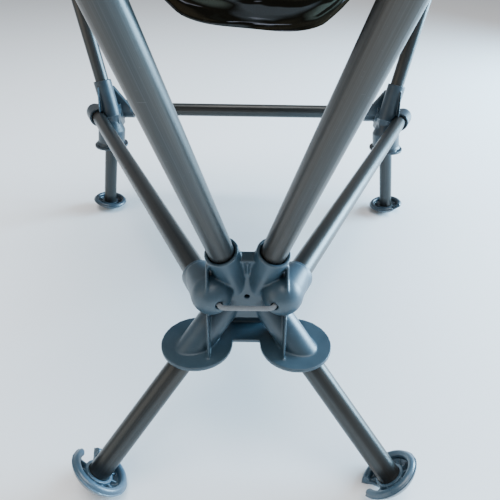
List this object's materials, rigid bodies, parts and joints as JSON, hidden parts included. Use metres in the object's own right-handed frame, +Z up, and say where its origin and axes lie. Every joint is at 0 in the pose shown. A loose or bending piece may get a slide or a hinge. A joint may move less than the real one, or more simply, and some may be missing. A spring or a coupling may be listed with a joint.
{
  "type": "camp stool",
  "caption": "Shock-corded folding camp stool: moulded hubs on a triangular bar base, splayed tube legs on swivelling round feet, leaning uprights and a hung cloth sling seat.",
  "frame": {"origin": "on the ground, in the middle of the whole stool's box", "axes": "+Z up, -Y to the front, where the two uprights of the front hub stand, +X to the right seen from the front, mirror plane X = 0 for the tube frame"},
  "size_m": [0.4328, 0.4702, 0.3801],
  "materials": {
    "tube": "satin anodised gunmetal",
    "hub_plastic": "satin moulded slate nylon",
    "foot_plastic": "satin moulded slate nylon",
    "plug_plastic": "matte",
    "cord": "braided",
    "seat_cloth": "printed camouflage weave",
    "binding": "woven tape"
  },
  "bodies": {
    "frame": {"front_hub": "hub_plastic", "rear_left_hub": "hub_plastic", "rear_right_hub": "hub_plastic", "left_side_bar": "tube", "right_side_bar": "tube", "rear_bar": "tube", "base_cord": "cord", "front_left_upright": "tube", "front_left_tip": "plug_plastic", "front_left_pole_cord": "cord", "front_right_upright": "tube", "front_right_tip": "plug_plastic", "front_right_pole_cord": "cord", "rear_left_upright": "tube", "rear_left_tip": "plug_plastic", "rear_left_pole_cord": "cord", "rear_right_upright": "tube", "rear_right_tip": "plug_plastic", "rear_right_pole_cord": "cord"},
    "front_left_leg": {"front_left_leg": "tube", "front_left_leg_plug": "plug_plastic"},
    "front_left_foot": {"front_left_foot": "foot_plastic"},
    "front_right_leg": {"front_right_leg": "tube", "front_right_leg_plug": "plug_plastic"},
    "front_right_foot": {"front_right_foot": "foot_plastic"},
    "rear_left_leg": {"rear_left_leg": "tube", "rear_left_leg_plug": "plug_plastic"},
    "rear_left_foot": {"rear_left_foot": "foot_plastic"},
    "rear_right_leg": {"rear_right_leg": "tube", "rear_right_leg_plug": "plug_plastic"},
    "rear_right_foot": {"rear_right_foot": "foot_plastic"},
    "seat": {"seat_sling": "seat_cloth", "seat_hem": "binding", "front_left_pocket": "binding", "front_right_pocket": "binding", "rear_left_pocket": "binding", "rear_right_pocket": "binding"}
  },
  "joints": [
    {"name": "front_left_leg_pull", "type": "slide", "parent": "frame", "child": "front_left_leg", "axis": [-0.5871, -0.4139, -0.6957], "range_m": [0, 0.03], "stiffness_N_per_m": 250, "springref_m": -0.04},
    {"name": "front_left_foot_swivel", "type": "hinge", "parent": "front_left_leg", "child": "front_left_foot", "pos_m": [-0.08128, -0.17493, 0.0255], "axis": [-0.5871, -0.4139, -0.6957], "continuous": true},
    {"name": "front_right_leg_pull", "type": "slide", "parent": "frame", "child": "front_right_leg", "axis": [0.5871, -0.4139, -0.6957], "range_m": [0, 0.03], "stiffness_N_per_m": 250, "springref_m": -0.04},
    {"name": "front_right_foot_swivel", "type": "hinge", "parent": "front_right_leg", "child": "front_right_foot", "pos_m": [0.08128, -0.17493, 0.0255], "axis": [0.5871, -0.4139, -0.6957], "continuous": true},
    {"name": "rear_left_leg_pull", "type": "slide", "parent": "frame", "child": "rear_left_leg", "axis": [-0.1685, -0.0138, -0.9856], "range_m": [0, 0.03], "stiffness_N_per_m": 250, "springref_m": -0.04},
    {"name": "rear_left_foot_swivel", "type": "hinge", "parent": "rear_left_leg", "child": "rear_left_foot", "pos_m": [-0.17467, 0.18547, 0.0255], "axis": [-0.1685, -0.0138, -0.9856], "continuous": true},
    {"name": "rear_right_leg_pull", "type": "slide", "parent": "frame", "child": "rear_right_leg", "axis": [0.1685, -0.0138, -0.9856], "range_m": [0, 0.03], "stiffness_N_per_m": 250, "springref_m": -0.04},
    {"name": "rear_right_foot_swivel", "type": "hinge", "parent": "rear_right_leg", "child": "rear_right_foot", "pos_m": [0.17467, 0.18547, 0.0255], "axis": [0.1685, -0.0138, -0.9856], "continuous": true},
    {"name": "seat_lift_off", "type": "slide", "parent": "frame", "child": "seat", "axis": [0, 0, 1], "range_m": [0, 0.06]}
  ]
}
